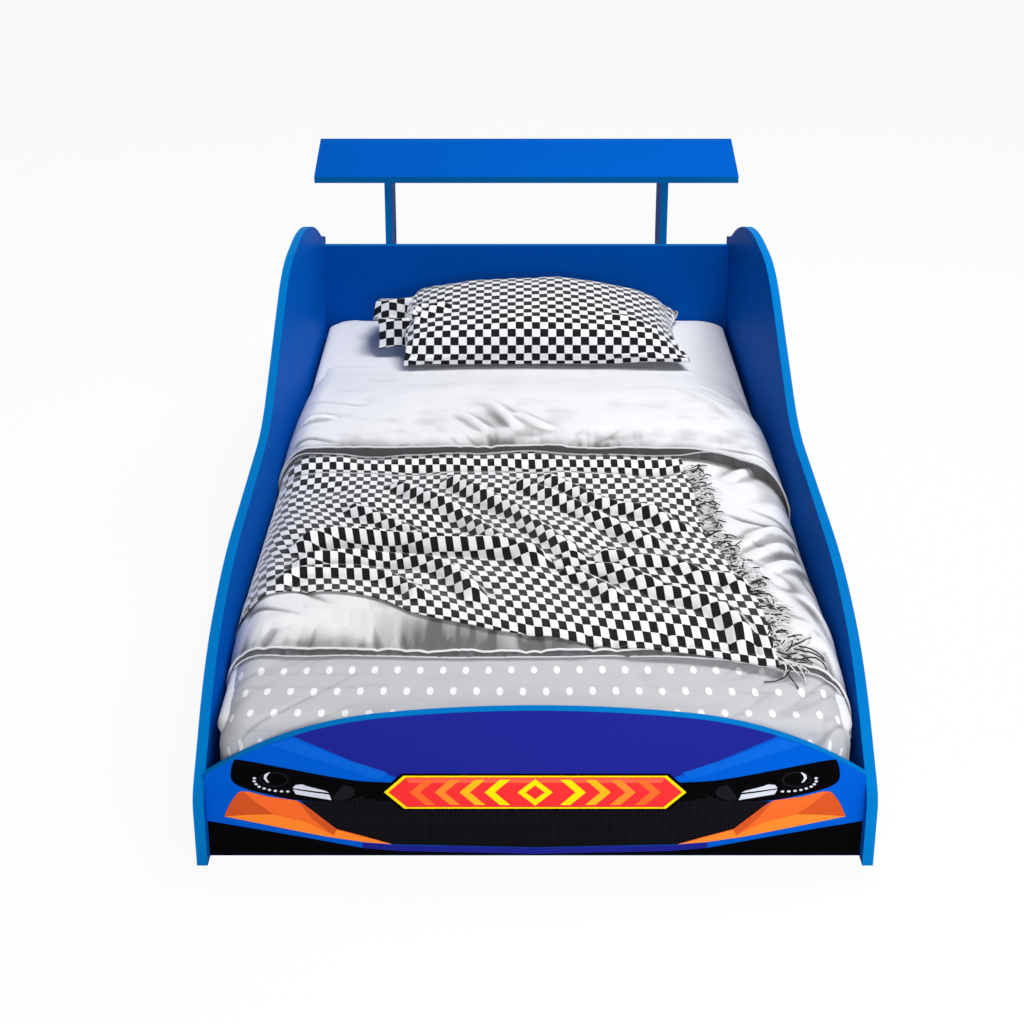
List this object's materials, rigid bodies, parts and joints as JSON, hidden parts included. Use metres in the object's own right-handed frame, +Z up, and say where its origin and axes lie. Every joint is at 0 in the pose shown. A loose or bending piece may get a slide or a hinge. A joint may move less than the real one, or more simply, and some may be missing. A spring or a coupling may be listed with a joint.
{
  "type": "car bed",
  "caption": "Low single bed for a child, shaped as a racing car: wavy side panels, arched front panel, headboard, rear wing, slatted base, mattress, duvet, throw and pillow.",
  "frame": {"origin": "on the floor, under the middle of the bed's bounding box", "axes": "+Z up, +Y from the foot end (the car's nose) to the head end, X across the bed"},
  "size_m": [0.9328, 2.105, 0.5526],
  "materials": {
    "laminate": "blue satin laminate on board",
    "printed_laminate": "satin laminate, printed with a car's face",
    "pine": "planed, unpainted",
    "beech": "fluted dowel",
    "zinc_steel": "zinc plated",
    "cap_plastic": "moulded",
    "foot_plastic": "moulded",
    "sheet_cotton": "white fitted sheet",
    "duvet_cotton": "white, plain weave",
    "dotted_cotton": "grey with white dots",
    "chequered_cotton": "black and white checks, fringed",
    "pillow_cotton": "black and white checks"
  },
  "bodies": {
    "frame": {"side_panel_left": "laminate", "side_panel_right": "laminate", "front_panel": "printed_laminate", "headboard": "laminate", "spoiler_wing": "laminate", "spoiler_support_left": "laminate", "spoiler_support_right": "laminate", "slat_rail_left": "pine", "slat_rail_right": "pine", "centre_beam": "pine", "slat_01": "pine", "slat_02": "pine", "slat_03": "pine", "slat_04": "pine", "slat_05": "pine", "slat_06": "pine", "slat_07": "pine", "slat_08": "pine", "slat_09": "pine", "slat_10": "pine", "slat_11": "pine", "slat_12": "pine", "slat_13": "pine", "spoiler_brackets": "zinc_steel", "beam_brackets": "zinc_steel", "bracket_screws": "zinc_steel", "panel_screws": "zinc_steel", "screw_caps": "cap_plastic", "corner_dowels": "beech", "rail_screws": "zinc_steel", "slat_screws": "zinc_steel", "beam_feet": "foot_plastic"},
    "mattress": {"mattress": "sheet_cotton", "dotted_quilt": "dotted_cotton", "duvet": "duvet_cotton", "chequered_throw": "chequered_cotton"},
    "pillow": {"pillow": "pillow_cotton"}
  },
  "joints": [
    {"name": "mattress_lift", "type": "slide", "parent": "frame", "child": "mattress", "axis": [0, 0, 1], "range_m": [0, 0.5]},
    {"name": "pillow_lift", "type": "slide", "parent": "mattress", "child": "pillow", "axis": [0, 0, 1], "range_m": [0, 0.4]}
  ]
}
